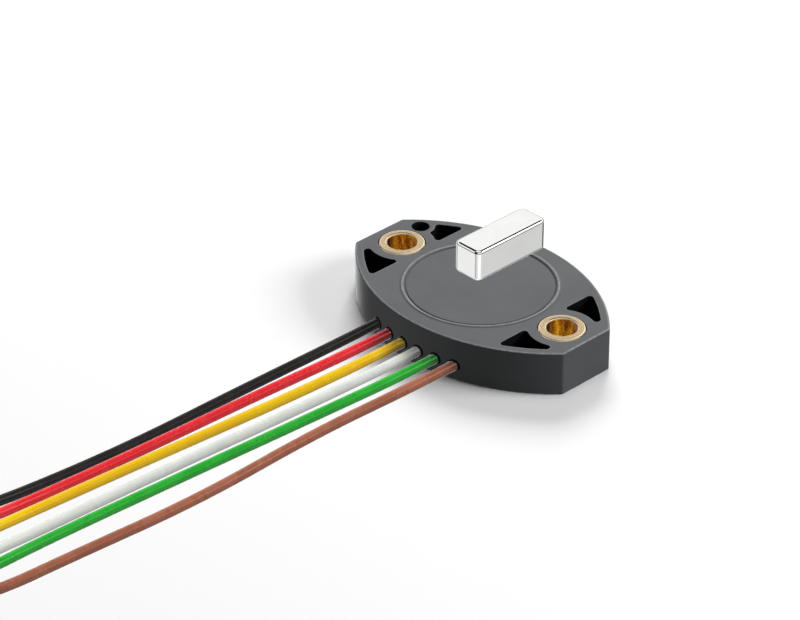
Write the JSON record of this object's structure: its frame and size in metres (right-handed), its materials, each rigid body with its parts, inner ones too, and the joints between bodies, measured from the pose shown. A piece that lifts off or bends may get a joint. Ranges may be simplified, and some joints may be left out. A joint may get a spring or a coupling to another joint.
{
  "type": "linear position sensor",
  "caption": "Flat touchless linear position sensor with two bushed mounting holes, six flying leads and a separate bar magnet that travels above it.",
  "frame": {"origin": "midway between the two mounting holes, on the mounting face", "axes": "+X along the line of the two holes, leads leave towards -Y, +Z away from the mounting face through the housing to the marker magnet"},
  "size_m": [0.0471, 0.1381, 0.0142],
  "materials": {
    "housing_plastic": "fine satin moulded surface, glass filled",
    "bushing_brass": "turned",
    "board_laminate": "green solder mask",
    "chip_epoxy": "moulded",
    "tinned_metal": "tin plated",
    "ceramic": "fired ceramic",
    "resistor_black": "glazed",
    "solder": "bright solder",
    "potting_resin": "cast resin, glossy",
    "tinned_copper": "tinned strands",
    "seal_rubber": "glossy black",
    "tie_nylon": "natural nylon",
    "magnet_nickel": "bright nickel plate",
    "black_insulation": "extruded insulation, satin gloss",
    "red_insulation": "extruded insulation, satin gloss",
    "yellow_insulation": "extruded insulation, satin gloss",
    "white_insulation": "extruded insulation, satin gloss",
    "green_insulation": "extruded insulation, satin gloss",
    "brown_insulation": "extruded insulation, satin gloss"
  },
  "bodies": {
    "sensor": {"housing": "housing_plastic", "left_bushing": "bushing_brass", "right_bushing": "bushing_brass", "circuit_board": "board_laminate", "sensor_chip": "chip_epoxy", "chip_leads": "tinned_metal", "supply_capacitors": "ceramic", "output_capacitors": "ceramic", "series_resistors": "resistor_black", "component_terminals": "tinned_metal", "solder_joints": "solder", "potting_compound": "potting_resin", "black_conductor": "tinned_copper", "black_seal": "seal_rubber", "black_lead": "black_insulation", "black_lead_coil": "black_insulation", "black_lead_tip": "tinned_copper", "red_conductor": "tinned_copper", "red_seal": "seal_rubber", "red_lead": "red_insulation", "red_lead_coil": "red_insulation", "red_lead_tip": "tinned_copper", "yellow_conductor": "tinned_copper", "yellow_seal": "seal_rubber", "yellow_lead": "yellow_insulation", "yellow_lead_coil": "yellow_insulation", "yellow_lead_tip": "tinned_copper", "white_conductor": "tinned_copper", "white_seal": "seal_rubber", "white_lead": "white_insulation", "white_lead_coil": "white_insulation", "white_lead_tip": "tinned_copper", "green_conductor": "tinned_copper", "green_seal": "seal_rubber", "green_lead": "green_insulation", "green_lead_coil": "green_insulation", "green_lead_tip": "tinned_copper", "brown_conductor": "tinned_copper", "brown_seal": "seal_rubber", "brown_lead": "brown_insulation", "brown_lead_coil": "brown_insulation", "brown_lead_tip": "tinned_copper", "rear_coil_tie": "tie_nylon", "front_coil_tie": "tie_nylon"},
    "marker": {"position_magnet": "magnet_nickel"}
  },
  "joints": [
    {"name": "marker_travel", "type": "slide", "parent": "sensor", "child": "marker", "axis": [0, 1, 0], "range_m": [-0.0109, 0.0031]}
  ]
}
